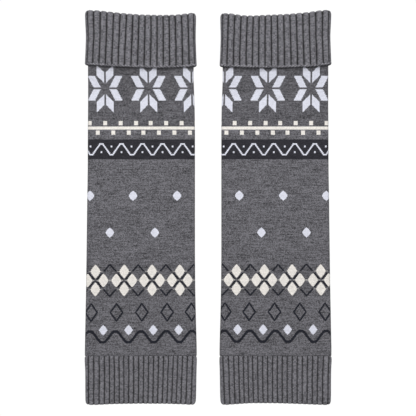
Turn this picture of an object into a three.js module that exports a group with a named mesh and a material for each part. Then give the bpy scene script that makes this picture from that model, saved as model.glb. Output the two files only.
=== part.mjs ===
// A pair of knitted leg warmers laid flat side by side, in millimetres.
// X runs across the pair, Y from the foot edges to the folded tops, Z up from the surface.
// Each leg is three knitted tubes pressed flat: a fine-knit body with a picture pattern, a deep rib
// cuff turned down over its top, and a narrow rib cuff at the foot. One leg mirrors the other.

import * as THREE from 'three';

// Overall sizes
const LENGTH = 400;
const LEG_CENTRE = 68.5; // from the middle of the pair to the middle of each leg
const SEAM_GAP = 0.3; // clearance where two pieces meet

// Cloth walls
const BODY_WALL = 1.6;
const RIB_WALL = 2.5; // over the crests of the ribs
const TURNED_WALL = 1.8; // the cuff's inside layer, pressed by the layer over it
const PRESSED_GAP = 0.4; // what is left of a tube's hollow when it lies flat
const RIB_DEPTH = 1.0; // from the crest of a rib to the bottom of its groove
const EDGE_ROUNDING = 0.8; // how far a bound edge rounds over

// Top cuff: four layers thick where it lies flat. Its ribs lean a little, so the middle rib is at
// one place across the leg at the hem and at another at the fold.
const TURNED_STACK = RIB_WALL + SEAM_GAP + TURNED_WALL;
const CUFF_THICKNESS = 2 * TURNED_STACK + PRESSED_GAP;
const FOLD_RADIUS = TURNED_STACK / 2;
const CUFF_RIBS = 19;
const CUFF_RIB_PITCH = 6.38;
const CUFF_MIDDLE_RIB = { hem: -0.1, fold: 1.9 };
const HEM_BAND = 3.0; // the cast-off band along the hem, which closes the grooves
const CUFF_JOIN = 355.5; // where its hidden inside layer meets the body, above the foot edge
const CUFF_WAIST = 372; // its narrowest place
const CUFF_HEM = { outer: 344.6, middle: 342.2, inner: 343.2 };
const CUFF_FOLD = { outer: LENGTH, middle: 395.0, inner: 396.6 };
const CUFF_WIDTHS = [
  { along: 342, outer: 56.8, inner: 56.9 },
  { along: 355, outer: 56.4, inner: 56.3 },
  { along: 372, outer: 55.8, inner: 55.8 },
  { along: 388, outer: 56.6, inner: 56.1 },
  { along: 400, outer: 56.8, inner: 56.2 },
];

// Foot cuff: two layers thick
const FOOT_THICKNESS = 2 * RIB_WALL + PRESSED_GAP;
const FOOT_RIBS = 23;
const FOOT_RIB_PITCH = 5.05;
const FOOT_MIDDLE_RIB = 0.8;
const FOOT_JOIN = 49.4; // where it meets the body
const FOOT_WAIST = 27;
const FOOT_EDGE = { outer: 0, middle: 1.3, inner: 0.2 };
const FOOT_WIDTHS = [
  { along: 0, outer: 56.3, inner: 56.1 },
  { along: 8, outer: 56.6, inner: 56.6 },
  { along: 27, outer: 56.6, inner: 56.9 },
  { along: 38, outer: 56.8, inner: 57.1 },
  { along: 45, outer: 57.4, inner: 57.5 },
  { along: 50, outer: 57.1, inner: 57.2 },
];

// Body: each row is a section across it, with its half widths, the height of its underside and
// its thickness. The last rows climb into the cuff, between its layers.
const UNDER_CUFF = RIB_WALL + SEAM_GAP;
const BODY_THICKNESS = 2 * BODY_WALL + PRESSED_GAP;
const BODY_SECTIONS = [
  { along: FOOT_JOIN, outer: 56.9, inner: 56.9, floor: 0, thickness: BODY_THICKNESS + 0.3 },
  { along: 57, outer: 57.0, inner: 56.9, floor: 0, thickness: BODY_THICKNESS },
  { along: 69, outer: 56.7, inner: 56.6, floor: 0, thickness: BODY_THICKNESS },
  { along: 94, outer: 56.2, inner: 55.9, floor: 0, thickness: BODY_THICKNESS + 0.2 },
  { along: 118, outer: 55.7, inner: 55.4, floor: 0, thickness: BODY_THICKNESS },
  { along: 154, outer: 55.2, inner: 55.1, floor: 0, thickness: BODY_THICKNESS + 0.2 },
  { along: 179, outer: 54.9, inner: 55.1, floor: 0, thickness: BODY_THICKNESS },
  { along: 203, outer: 54.6, inner: 55.1, floor: 0, thickness: BODY_THICKNESS + 0.2 },
  { along: 240, outer: 54.0, inner: 55.1, floor: 0, thickness: BODY_THICKNESS },
  { along: 276, outer: 53.9, inner: 55.1, floor: 0, thickness: BODY_THICKNESS + 0.2 },
  { along: 301, outer: 53.7, inner: 54.8, floor: 0, thickness: BODY_THICKNESS },
  { along: 318, outer: 53.6, inner: 54.2, floor: 0.1, thickness: BODY_THICKNESS + 0.1 },
  { along: 328, outer: 53.5, inner: 53.8, floor: 0.9, thickness: BODY_THICKNESS + 0.3 },
  { along: 337, outer: 53.4, inner: 53.5, floor: 2.3, thickness: BODY_THICKNESS + 0.4 },
  {
    along: 343,
    outer: 53.3,
    inner: 53.3,
    floor: UNDER_CUFF,
    thickness: CUFF_THICKNESS - 2 * UNDER_CUFF,
  },
  {
    along: CUFF_JOIN,
    outer: 53.3,
    inner: 53.3,
    floor: UNDER_CUFF,
    thickness: CUFF_THICKNESS - 2 * UNDER_CUFF,
  },
];

// Colours of the knit
const BODY_GREY = 0x5f5f64;
const RIB_GREY = 0x75757a;

// A row's value at a place along the leg, from the two rows of a table on either side of it.
function rowAt(table, along) {
  const last = table.length - 1;
  if (along <= table[0].along) return { ...table[0], along };
  if (along >= table[last].along) return { ...table[last], along };
  const above = table.findIndex((row) => row.along >= along);
  const low = table[above - 1];
  const high = table[above];
  const share = (along - low.along) / (high.along - low.along);
  const row = {};
  for (const name of Object.keys(low)) {
    row[name] = THREE.MathUtils.lerp(low[name], high[name], share);
  }
  return row;
}

// A gently bowed edge through its outer corner, its middle and its inner corner, where "side" goes
// from -1 at the outer corner to 1 at the inner one.
function bowed(edge, side) {
  const slope = (edge.inner - edge.outer) / 2;
  const bow = (edge.inner + edge.outer) / 2 - edge.middle;
  return edge.middle + slope * side + bow * side * side;
}

// A point on a flattened tube's section, which is a rectangle with fully rounded ends. "turn" goes
// round it: 0 to 1 along the underside towards the inner edge, 1 to 2 up that edge, 2 to 3 back
// over the front and 3 to 4 down the outer edge. "inset" moves the point into the cloth.
function sectionPoint(section, turn, inset) {
  const half = section.thickness / 2;
  const middle = section.floor + half;
  const innerEnd = section.inner - half;
  const outerEnd = half - section.outer;
  const radius = half - inset;
  const quarter = Math.floor(turn);
  const share = turn - quarter;
  if (quarter === 0) {
    return { across: THREE.MathUtils.lerp(outerEnd, innerEnd, share), height: middle - radius };
  }
  if (quarter === 2) {
    return { across: THREE.MathUtils.lerp(innerEnd, outerEnd, share), height: middle + radius };
  }
  const end = quarter === 1 ? innerEnd : outerEnd;
  const angle = Math.PI * (share + (quarter === 1 ? -0.5 : 0.5));
  return { across: end + radius * Math.cos(angle), height: middle + radius * Math.sin(angle) };
}

// Places round a plain section: few on the flat panels, more on the rounded edges.
function plainStops() {
  const stops = [];
  for (let panel = 0; panel < 4; panel += 1) {
    const steps = panel % 2 === 0 ? 6 : 4;
    for (let step = 0; step < steps; step += 1) {
      stops.push({ turn: panel + step / steps, groove: 0 });
    }
  }
  return stops;
}

// Places round a ribbed section, with how deep each lies in a groove, from 0 to 1. The ribs cover
// the front and wrap round both edges, from a middle rib that may stand off the middle of the front.
// The underside is plain, because it rests flat.
function ribStops(count, pitch, middleRib, frontWidth, edgeRadius) {
  const ribShape = [
    { share: 0, groove: 1 },
    { share: 0.22, groove: 0.2 },
    { share: 0.5, groove: 0 },
    { share: 0.78, groove: 0.2 },
  ];
  const stops = [];
  for (const share of [0, 0.25, 0.5, 0.75]) stops.push({ turn: share, groove: 0 });
  stops.push({ turn: 1, groove: 0 });
  for (let rib = 0; rib <= count; rib += 1) {
    for (const point of ribShape) {
      if (rib === count && point.share > 0) break;
      const way = (rib + point.share - count / 2) * pitch - middleRib;
      const past = Math.max(0, Math.abs(way) - frontWidth / 2) / (Math.PI * edgeRadius);
      let turn = 2.5 + way / frontWidth;
      if (past > 0) turn = way < 0 ? 2 - past : 3 + past;
      stops.push({ turn, groove: point.groove });
    }
  }
  return stops;
}

// One ring of points. "alongAt" gives the place along the leg for each side from -1 to 1.
function makeRing(section, stops, inset, relief, alongAt) {
  const turns = stops.map((stop) => stop.turn);
  const points = stops.map((stop) => {
    const spot = sectionPoint(section, stop.turn, inset + relief * stop.groove);
    const reach = (spot.across < 0 ? section.outer : section.inner) - inset;
    const side = THREE.MathUtils.clamp(spot.across / reach, -1, 1);
    return new THREE.Vector3(spot.across, alongAt(side) - LENGTH / 2, spot.height);
  });
  return { turns, points };
}

// Triangles between two rings, always stepping on the ring that is behind, so that a ribbed ring
// can meet a plain one with fewer points.
function joinRings(first, second, triangles) {
  const round = 4;
  const turnOf = (ring, step) => {
    const count = ring.turns.length;
    return ring.turns[step % count] + (step >= count ? round : 0);
  };
  const pointOf = (ring, step) => ring.start + (step % ring.turns.length);
  let a = 0;
  let b = 0;
  while (a < first.turns.length || b < second.turns.length) {
    const aNext = a < first.turns.length ? turnOf(first, a + 1) : Infinity;
    const bNext = b < second.turns.length ? turnOf(second, b + 1) : Infinity;
    if (aNext <= bNext) {
      triangles.push([pointOf(first, a), pointOf(first, a + 1), pointOf(second, b)]);
      a += 1;
    } else {
      triangles.push([pointOf(first, a), pointOf(second, b + 1), pointOf(second, b)]);
      b += 1;
    }
  }
}

// A closed wall from a loop of rings, placed in its leg. The right leg mirrors the left one.
function wallGeometry(rings, leg) {
  const positions = [];
  for (const ring of rings) {
    ring.start = positions.length / 3;
    for (const point of ring.points) {
      const x = leg === 'left' ? point.x - LEG_CENTRE : LEG_CENTRE - point.x;
      positions.push(x, point.y, point.z);
    }
  }
  const triangles = [];
  rings.forEach((ring, place) => joinRings(ring, rings[(place + 1) % rings.length], triangles));
  const ordered = leg === 'left' ? triangles.map(([a, b, c]) => [c, b, a]) : triangles;
  const geometry = new THREE.BufferGeometry();
  geometry.setAttribute('position', new THREE.Float32BufferAttribute(positions, 3));
  geometry.setIndex(ordered.flat());
  geometry.computeVertexNormals();
  return geometry;
}

function knitMesh(name, geometry, colour) {
  const material = new THREE.MeshStandardMaterial({ color: colour, roughness: 0.95, metalness: 0 });
  const mesh = new THREE.Mesh(geometry, material);
  mesh.name = name;
  return mesh;
}

// The body: up its outside, over its top edge, down its inside and round its foot edge.
function bodyTube(leg) {
  const stops = plainStops();
  const top = CUFF_JOIN - SEAM_GAP;
  const foot = FOOT_JOIN + SEAM_GAP;
  const ring = (along, inset) => {
    return makeRing(rowAt(BODY_SECTIONS, along), stops, inset, 0, () => along);
  };
  const between = BODY_SECTIONS.slice(1, -1).map((row) => row.along);
  const rings = [ring(foot, EDGE_ROUNDING / 2), ring(foot + EDGE_ROUNDING, 0)];
  for (const along of between) rings.push(ring(along, 0));
  rings.push(ring(top - EDGE_ROUNDING, 0), ring(top, EDGE_ROUNDING / 2), ring(top, BODY_WALL));
  for (const along of between.reverse()) rings.push(ring(along, BODY_WALL));
  rings.push(ring(foot, BODY_WALL));
  return knitMesh(`body_${leg}`, wallGeometry(rings, leg), BODY_GREY);
}

// The turned-down cuff: up its ribbed outside from the hem, over the fold, down the hidden inside
// layer to the join with the body, then back up between the layers and down to the hem.
function topCuff(leg) {
  const waist = rowAt(CUFF_WIDTHS, CUFF_WAIST);
  const frontWidth = waist.outer + waist.inner - CUFF_THICKNESS;
  const ribs = (share) => {
    const middleRib = THREE.MathUtils.lerp(CUFF_MIDDLE_RIB.hem, CUFF_MIDDLE_RIB.fold, share);
    return ribStops(CUFF_RIBS, CUFF_RIB_PITCH, middleRib, frontWidth, CUFF_THICKNESS / 2);
  };
  const plain = plainStops();
  const place = { floor: 0, thickness: CUFF_THICKNESS };
  const ring = (stops, share, rise, inset, relief) => {
    const alongAt = (side) => {
      return THREE.MathUtils.lerp(bowed(CUFF_HEM, side), bowed(CUFF_FOLD, side), share) + rise;
    };
    return makeRing({ ...rowAt(CUFF_WIDTHS, alongAt(0)), ...place }, stops, inset, relief, alongAt);
  };
  const joinRing = (inset) => {
    return makeRing({ ...rowAt(CUFF_WIDTHS, CUFF_JOIN), ...place }, plain, inset, 0, () => CUFF_JOIN);
  };
  const foldRing = (stops, degrees, relief) => {
    const angle = THREE.MathUtils.degToRad(degrees);
    const rise = FOLD_RADIUS * (Math.sin(angle) - 1);
    return ring(stops, 1, rise, FOLD_RADIUS * (1 - Math.cos(angle)), relief);
  };
  const betweenLayers = RIB_WALL + SEAM_GAP / 2;
  const foldInside = -FOLD_RADIUS - SEAM_GAP;
  const rings = [
    ring(ribs(0), 0, 0, EDGE_ROUNDING, 0),
    ring(ribs(0), 0, EDGE_ROUNDING, 0, 0),
    ring(ribs(0), 0, HEM_BAND - EDGE_ROUNDING, 0, RIB_DEPTH / 5),
    ring(ribs(0), 0, HEM_BAND, 0, RIB_DEPTH),
    ring(ribs(0.5), 0.5, 0, 0, RIB_DEPTH),
    foldRing(ribs(1), 0, RIB_DEPTH),
    foldRing(ribs(1), 50, RIB_DEPTH),
    foldRing(ribs(1), 90, RIB_DEPTH),
    foldRing(plain, 130, 0),
    foldRing(plain, 180, 0),
    joinRing(TURNED_STACK),
    joinRing(UNDER_CUFF),
    ring(plain, 1, foldInside - SEAM_GAP, UNDER_CUFF, 0),
    ring(plain, 1, foldInside, betweenLayers, 0),
    ring(plain, 1, foldInside - SEAM_GAP, RIB_WALL, 0),
    ring(plain, 0.5, 0, RIB_WALL, 0),
    ring(plain, 0, EDGE_ROUNDING, RIB_WALL, 0),
    ring(plain, 0, 0, RIB_WALL - EDGE_ROUNDING / 2, 0),
  ];
  return knitMesh(`top_cuff_${leg}`, wallGeometry(rings, leg), RIB_GREY);
}

// The foot cuff: up its ribbed outside from the foot edge to the join, and down its plain inside.
function footCuff(leg) {
  const waist = rowAt(FOOT_WIDTHS, FOOT_WAIST);
  const frontWidth = waist.outer + waist.inner - FOOT_THICKNESS;
  const halfThickness = FOOT_THICKNESS / 2;
  const ribs = ribStops(FOOT_RIBS, FOOT_RIB_PITCH, FOOT_MIDDLE_RIB, frontWidth, halfThickness);
  const plain = plainStops();
  const place = { floor: 0, thickness: FOOT_THICKNESS };
  const ring = (stops, share, rise, inset, relief) => {
    const alongAt = (side) => {
      return THREE.MathUtils.lerp(bowed(FOOT_EDGE, side), FOOT_JOIN, share) + rise;
    };
    return makeRing({ ...rowAt(FOOT_WIDTHS, alongAt(0)), ...place }, stops, inset, relief, alongAt);
  };
  const rings = [
    ring(ribs, 0, 0, EDGE_ROUNDING, RIB_DEPTH / 2),
    ring(ribs, 0, EDGE_ROUNDING, 0, RIB_DEPTH),
    ring(ribs, 0.5, 0, 0, RIB_DEPTH),
    ring(ribs, 0.9, 0, 0, RIB_DEPTH),
    ring(ribs, 1, -EDGE_ROUNDING, EDGE_ROUNDING / 2, RIB_DEPTH),
    ring(ribs, 1, 0, EDGE_ROUNDING, RIB_DEPTH / 2),
    ring(plain, 1, 0, RIB_WALL, 0),
    ring(plain, 0.5, 0, RIB_WALL, 0),
    ring(plain, 0, EDGE_ROUNDING, RIB_WALL, 0),
    ring(plain, 0, 0, RIB_WALL - EDGE_ROUNDING / 2, 0),
  ];
  return knitMesh(`foot_cuff_${leg}`, wallGeometry(rings, leg), RIB_GREY);
}

const pair = new THREE.Group();
for (const leg of ['left', 'right']) {
  pair.add(bodyTube(leg), topCuff(leg), footCuff(leg));
}

export default pair;
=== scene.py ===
# %% [markdown]
# # A pair of knitted leg warmers, laid flat
#
# Each leg warmer is three knitted tubes: a fine jersey body with a snow pattern knitted in, a deep
# rib cuff turned down over its top, and a narrow rib cuff at the foot. This lesson builds each tube
# as one closed wall of cloth, rib by rib, and paints the pattern with maths nodes that count
# stitches, so that every edge of a star steps as real knitting does.

# %% Load the fixed frame
import math
from functools import partialmethod

import bpy
import numpy as np
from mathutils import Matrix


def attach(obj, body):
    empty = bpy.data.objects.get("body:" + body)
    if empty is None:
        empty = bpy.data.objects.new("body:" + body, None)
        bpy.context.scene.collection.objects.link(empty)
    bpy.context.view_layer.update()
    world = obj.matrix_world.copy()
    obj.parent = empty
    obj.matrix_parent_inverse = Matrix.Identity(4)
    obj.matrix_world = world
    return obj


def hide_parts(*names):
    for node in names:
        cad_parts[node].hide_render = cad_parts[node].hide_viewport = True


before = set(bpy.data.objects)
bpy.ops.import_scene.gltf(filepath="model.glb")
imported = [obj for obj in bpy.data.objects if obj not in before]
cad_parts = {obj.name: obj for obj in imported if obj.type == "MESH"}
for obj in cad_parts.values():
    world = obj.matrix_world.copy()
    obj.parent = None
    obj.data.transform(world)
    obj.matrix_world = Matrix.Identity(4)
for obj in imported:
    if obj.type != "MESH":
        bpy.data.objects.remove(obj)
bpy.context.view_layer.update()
MM = 0.001
LEGS = ("left", "right")

# %% [markdown]
# ## Where the camera hangs
#
# The pair was photographed from straight above. A long lens from about a metre gives nearly no
# perspective, as in the photograph. The picture is 416 pixels wide and one pixel is 1.0152 mm of
# cloth, so the camera's height follows from its lens.

# %% Camera
PIXELS_ACROSS = 416
MM_PER_PIXEL = 1.0152
PAIR_CENTRE_PIXELS = (208.15, 207.7)
LENS = 85
SENSOR = 36
CLOTH_HEIGHT = 4

view_width = PIXELS_ACROSS * MM_PER_PIXEL
camera_height = view_width / 2 / (SENSOR / 2 / LENS) + CLOTH_HEIGHT
camera_data = bpy.data.cameras.new("overhead_camera")
camera_data.lens = LENS
camera_data.sensor_width = SENSOR
camera = bpy.data.objects.new("overhead_camera", camera_data)
camera.location = (
    (PIXELS_ACROSS / 2 - PAIR_CENTRE_PIXELS[0]) * MM_PER_PIXEL * MM,
    (PAIR_CENTRE_PIXELS[1] - PIXELS_ACROSS / 2) * MM_PER_PIXEL * MM,
    camera_height * MM,
)
bpy.context.scene.collection.objects.link(camera)
bpy.context.scene.camera = camera
print("camera height in mm:", round(camera_height))

# %% [markdown]
# ## Sizes of the pair
#
# These are the frame's own sizes. Each leg is drawn in flat coordinates of its own: "across" runs
# from its outer edge to its inner edge and "along" runs up from the foot edge, so one table can
# serve both legs. Short tables give the half widths at a few places, and the places between are
# smoothed so that no line shows where two rows of a table meet.

# %% Sizes in millimetres
LENGTH = 400
LEG_CENTRE = 68.5
SEAM_GAP = 0.3
BODY_WALL = 1.6
RIB_WALL = 2.5
TURNED_WALL = 1.8
PRESSED_GAP = 0.4
TURNED_STACK = RIB_WALL + SEAM_GAP + TURNED_WALL
UNDER_CUFF = RIB_WALL + SEAM_GAP
CUFF_THICKNESS = 2 * TURNED_STACK + PRESSED_GAP
FOOT_THICKNESS = 2 * RIB_WALL + PRESSED_GAP
BODY_THICKNESS = 2 * BODY_WALL + PRESSED_GAP
FOOT_JOIN = 49.4
CUFF_JOIN = 355.5
# Where along the leg a piece's girth stands for the whole piece
BODY_MIDDLE = 200
CUFF_MIDDLE = 372
FOOT_MIDDLE = 27

# Rows of along, outer half width, inner half width, floor, thickness beyond the tube's own
BODY_ROWS = np.array([
    (FOOT_JOIN, 56.9, 56.9, 0, 0.3),
    (57, 57, 56.9, 0, 0),
    (69, 56.7, 56.6, 0, 0),
    (94, 56.2, 55.9, 0, 0.2),
    (118, 55.7, 55.4, 0, 0),
    (154, 55.2, 55.1, 0, 0.2),
    (179, 54.9, 55.1, 0, 0),
    (203, 54.6, 55.1, 0, 0.2),
    (240, 54, 55.1, 0, 0),
    (276, 53.9, 55.1, 0, 0.2),
    (301, 53.7, 54.8, 0, 0),
    (318, 53.6, 54.2, 0.1, 0.1),
    (328, 53.5, 53.8, 0.9, 0.3),
    (337, 53.5, 53.7, 2.3, 0.4),
    (343, 53.4, 53.9, UNDER_CUFF, 0.4),
    (CUFF_JOIN, 53.3, 53.5, UNDER_CUFF, 0.4),
]) + (0, 0, 0, 0, BODY_THICKNESS)
CUFF_ROWS = np.array([
    (342, 56.7, 57.1, 0, 0),
    (355, 56.2, 56.5, 0, 0),
    (372, 55.6, 56, 0, 0),
    (388, 56.4, 56.3, 0, 0),
    (400, 56.7, 56.5, 0, 0),
]) + (0, 0, 0, 0, CUFF_THICKNESS)
FOOT_ROWS = np.array([
    (0, 56.3, 56.1, 0, 0),
    (8, 56.6, 56.6, 0, 0),
    (27, 56.6, 56.9, 0, 0),
    (38, 56.8, 57.1, 0, 0),
    (45, 57.4, 57.5, 0, 0),
    (50, 57.1, 57.2, 0, 0),
]) + (0, 0, 0, 0, FOOT_THICKNESS)
# How many places are averaged, and how far each way they reach for a section
TABLE_SAMPLES = 9
SECTION_REACH = 4


def smooth_table(rows, places, reach):
    """Columns 1 and up of a table at one or more places, averaged over a short reach each way."""
    rows = np.array(rows, dtype=float)
    around = np.asarray(places)[..., None] + np.linspace(-reach, reach, TABLE_SAMPLES)
    return [np.interp(around, rows[:, 0], column).mean(axis=-1) for column in rows.T[1:]]


def section_at(rows, along):
    """Outer half width, inner half width, floor and thickness at a place along the leg."""
    return smooth_table(rows, along, SECTION_REACH)


body_middle = section_at(BODY_ROWS, BODY_MIDDLE)
print("body section half way up:", [round(float(value), 2) for value in body_middle])

# %% [markdown]
# ## A tube pressed flat
#
# Lay a knitted tube on a table and its section is a very flat ring: two straight panels joined by a
# round fold at each side. "way" counts once round that ring, from 0 at the middle of the front to
# half a turn at the middle of the back. Working in turns rather than in millimetres keeps each
# column of stitches on its own line however wide the tube is.

# %% The flattened section


def round_the_tube(section, way, inset):
    """Across and height of points round a flattened tube, moved inset millimetres into the cloth."""
    outer, inner, floor, thickness = section
    radius = thickness / 2
    front = outer + inner - thickness
    arc = math.pi * radius
    way = (way + 0.5) % 1 - 0.5
    travel = np.abs(way) * 2 * (front + arc)
    bend = np.clip((travel - front / 2) / radius, 0, math.pi)
    flat = np.minimum(travel, front / 2) - np.maximum(travel - front / 2 - arc, 0)
    across = (inner - outer) / 2 + np.sign(way) * (flat + (radius - inset) * np.sin(bend))
    height = floor + radius + (radius - inset) * np.cos(bend)
    return across, height


def side_of(section, way, inset):
    """-1 at the outer edge of the leg, 1 at its inner edge."""
    across = round_the_tube(section, way, inset)[0]
    return np.clip(np.where(across < 0, across / section[0], across / section[1]), -1, 1)


def girth(section):
    """Length once round the outside of a flattened tube."""
    outer, inner, _, thickness = section
    return 2 * (outer + inner - thickness) + math.pi * thickness


print("girth of the body half way up in mm:", round(girth(body_middle), 1))

# %% [markdown]
# ## From rings to a closed wall
#
# Each piece is a loop of rings: up the outside of the cloth, over an edge, down the inside and back
# under the other edge. Joining every ring to the next, and the last to the first, gives one closed
# wall with no loose edges. The UV map holds stitch counts, so that the materials can count wales and
# courses.

# %% Wall builder


def closed_wall(name, rings, u_values, v_values, leg):
    """A mesh from rings of (across, along, height) points, with u per column and v per ring."""
    points = np.array(rings)
    ring_count, columns = points.shape[:2]
    mirror = -1 if leg == "left" else 1
    flat = np.empty((ring_count * columns, 3))
    flat[:, 0] = mirror * (LEG_CENTRE - points[:, :, 0].ravel()) * MM
    flat[:, 1] = (points[:, :, 1].ravel() - LENGTH / 2) * MM
    flat[:, 2] = points[:, :, 2].ravel() * MM
    ring, column = np.meshgrid(np.arange(ring_count), np.arange(columns), indexing="ij")
    corners = [(0, 0), (0, 1), (1, 1), (1, 0)]
    if leg == "right":
        corners.reverse()
    faces = np.stack([
        (ring + up) % ring_count * columns + (column + right) % columns for up, right in corners
    ], axis=-1).reshape(-1, 4)
    spots = np.stack([
        np.stack([u_values[column + right], v_values[ring + up]], axis=-1)
        for up, right in corners
    ], axis=2).reshape(-1, 2)
    mesh = bpy.data.meshes.new(name)
    mesh.from_pydata(flat, [], faces.tolist())
    stitches = mesh.uv_layers.new(name="stitches")
    stitches.data.foreach_set("uv", spots.astype(np.float32).ravel())
    mesh.shade_smooth()
    piece = bpy.data.objects.new(name, mesh)
    bpy.context.scene.collection.objects.link(piece)
    print(name, "has", 2 * len(faces), "triangles")
    return piece


# %% [markdown]
# ## The body tube
#
# The body is a fine jersey with 240 columns of stitches round it. Creases, soft and uneven, run
# across it. A crease moves the front panel up or down by a few tenths of a millimetre, and at the
# back it only lifts the cloth off the table. The rows of stitches aren't quite level either, so a
# table lifts them by up to half a millimetre at one side.

# %% Creases and crooked rows
# Rows of along, across, half length, half width, depth; a negative depth is a ridge
FRONT_CREASES = {
    "left": [
        (62, -38, 16, 2.2, 0.35), (66, 20, 30, 3, 0.22), (109, -10, 34, 3.4, 0.2),
        (148, 24, 26, 3.2, -0.25), (161, -26, 24, 2.6, 0.3), (193, 12, 38, 3.8, 0.28),
        (226, -30, 22, 2.8, 0.3), (236, 30, 26, 3.2, -0.22), (268, 2, 34, 3.2, 0.18),
        (308, -18, 24, 3.4, 0.22),
    ],
    "right": [
        (60, 14, 28, 2.6, 0.28), (72, -34, 18, 2.4, 0.3), (114, 18, 30, 3.2, 0.2),
        (143, -20, 28, 3, 0.26), (171, 28, 22, 2.6, -0.24), (186, -8, 36, 3.6, 0.3),
        (219, 26, 24, 3, 0.26), (243, -24, 28, 3.4, -0.2), (272, -4, 30, 3, 0.18),
        (312, 22, 26, 3.2, 0.24),
    ],
}
BACK_CREASES = [
    (84, 16, 30, 3, 0.3), (137, -20, 26, 2.8, 0.34), (205, 8, 34, 3.6, 0.28),
    (258, -14, 28, 3, 0.3),
]

# Rows of along, then how far the courses sit up at the outer edge and at the inner edge
COURSE_LIFT = {
    "left": [(49, 0, 0), (62, -0.55, 0), (126, -0.5, 0.1), (174, 0, 0), (356, 0, 0)],
    "right": [(49, 0, 0), (62, 0.15, 0.4), (126, 0.2, 0.3), (174, 0.3, 0.1), (211, 0, 0.3),
              (245, 0, 0), (356, 0, 0)],
}
LIFT_REACH = 6
# How far a crease wanders up and down as it crosses the leg, and the length of one radian of that
CREASE_SWAY = 1.5
SWAY_LENGTH = 13


def crease_depth(creases, across, along):
    """How far a set of soft troughs sinks the cloth at each point."""
    depth = np.zeros_like(across)
    for centre, middle, half_length, half_width, deepest in creases:
        sway = CREASE_SWAY * np.sin((across - middle) / SWAY_LENGTH)
        run = np.exp(-(((across - middle) / half_length) ** 4))
        depth += deepest * run * np.exp(-(((along - centre - sway) / half_width) ** 2))
    return depth


print("creases on the two fronts:", {leg: len(rows) for leg, rows in FRONT_CREASES.items()})

# %% [markdown]
# ## Walking round the body's wall
#
# The plan lists the rings by place along the leg and by depth in the wall. Outside there is one for
# every third course, close enough for the creases. Both ends of the wall are rounded off.

# %% Body tube
WALES_ROUND = 240
COURSE_HEIGHT = 0.72
BODY_COLUMNS = 160
COURSES_PER_RING = 3
INSIDE_STEP = 8
ROUNDING = 0.3
ROUNDING_INSET = 0.2


def courses_up(along):
    """A place along the leg, counted in courses from the foot join."""
    return (along - FOOT_JOIN) / COURSE_HEIGHT


def body_plan():
    """Rows of along and inset: outside, top edge, inside and foot edge."""
    top = CUFF_JOIN - SEAM_GAP
    deepest = BODY_WALL - ROUNDING_INSET
    plan = [(FOOT_JOIN, BODY_WALL / 2), (FOOT_JOIN, ROUNDING_INSET / 2)]
    outside = np.arange(FOOT_JOIN + 1, top - 1, COURSES_PER_RING * COURSE_HEIGHT)
    plan += [(along, 0) for along in outside]
    plan += [(top - ROUNDING, ROUNDING_INSET), (top, BODY_WALL / 2), (top - ROUNDING, deepest)]
    plan += [(along, BODY_WALL) for along in np.arange(top - 1, FOOT_JOIN + 1, -INSIDE_STEP)]
    plan += [(FOOT_JOIN + ROUNDING, deepest)]
    return plan


def body_tube(leg):
    """One leg's body."""
    way = np.arange(BODY_COLUMNS) / BODY_COLUMNS - 0.5
    plan = body_plan()
    rings = []
    for along, inset in plan:
        section = section_at(BODY_ROWS, along)
        across, height = round_the_tube(section, way, 0)
        # From 0 in the lowest third of the tube to 1 in its highest third
        in_front = np.clip((height - section[2]) / section[3] * 3 - 1, 0, 1)
        dip = in_front * crease_depth(FRONT_CREASES[leg], across, along)
        dip += (1 - in_front) * crease_depth(BACK_CREASES, across, along)
        # Only the outer half of the wall is creased
        sunk = inset + (dip if inset <= BODY_WALL / 2 else 0)
        across, height = round_the_tube(section, way, sunk)
        outer_lift, inner_lift = smooth_table(COURSE_LIFT[leg], along, LIFT_REACH)
        inward = (side_of(section, way, sunk) + 1) / 2
        lift = outer_lift * (1 - inward) + inner_lift * inward
        rings.append(np.stack([across, along + lift, height], axis=-1))
    u_values = np.append(way, 0.5) * WALES_ROUND
    v_values = np.array([courses_up(along) for along, _ in plan + plan[:1]])
    return closed_wall(f"body_{leg}_jersey", rings, u_values, v_values, leg)


bodies = {leg: body_tube(leg) for leg in LEGS}

# %% [markdown]
# ## Ribs
#
# A rib cuff alternates columns of knit, which stand forward, and of purl, which sink back, so a rib
# has a broad round crest and a narrow dark groove. The groove's depth follows a high power of the
# distance from the crest, which is flat on top and steep at the sides. Ribs are never spaced quite
# evenly, so tables say how far they drift aside, and each stands a little lower or higher than the
# next.

# %% Rib shape
RIB_SHARPNESS = 4
RIB_STEPS = 12
RIB_UNEVENNESS = 0.25
# Rows of sway, radians from one rib to the next, and length of one radian along the leg
RIB_WAVERS = [(0.03, 2.1, 7), (0.03, 3.7, -4), (0.04, 0.9, 15)]
# Share of a groove's depth that is left at the very edge of the tube
EDGE_GROOVE = 0.2
# Powers that say how close to the edge the ribs still drift and the grooves are still deep
DRIFT_POWER = 40
GROOVE_POWER = 60


def rib_columns(ribs):
    """Places round a ribbed tube, counted in ribs; a whole number is the middle of a groove."""
    return np.arange(ribs * RIB_STEPS) / RIB_STEPS


def groove_share(columns):
    """1 in the middle of a groove, 0 on the crest of a rib."""
    return np.abs(2 * (columns % 1) - 1) ** RIB_SHARPNESS


def rib_lows(ribs, seed):
    """How much lower than the tallest each rib stands, for every column."""
    low = np.random.default_rng(seed).uniform(0, RIB_UNEVENNESS, ribs)
    return np.repeat((low + np.roll(low, 1)) / 2, RIB_STEPS)


def rib_wander(columns, along, seed):
    """A slight sideways waver of every rib as it runs along the leg, in millimetres."""
    phases = np.random.default_rng(seed).uniform(0, 2 * math.pi, len(RIB_WAVERS))
    return sum(
        sway * np.sin(turn * columns + along / length + phase)
        for (sway, turn, length), phase in zip(RIB_WAVERS, phases)
    )


def shy_of_the_edge(side, power):
    """1 over most of the tube, falling to 0 at the very edge where it turns round."""
    return 1 - np.abs(side) ** power


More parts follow.
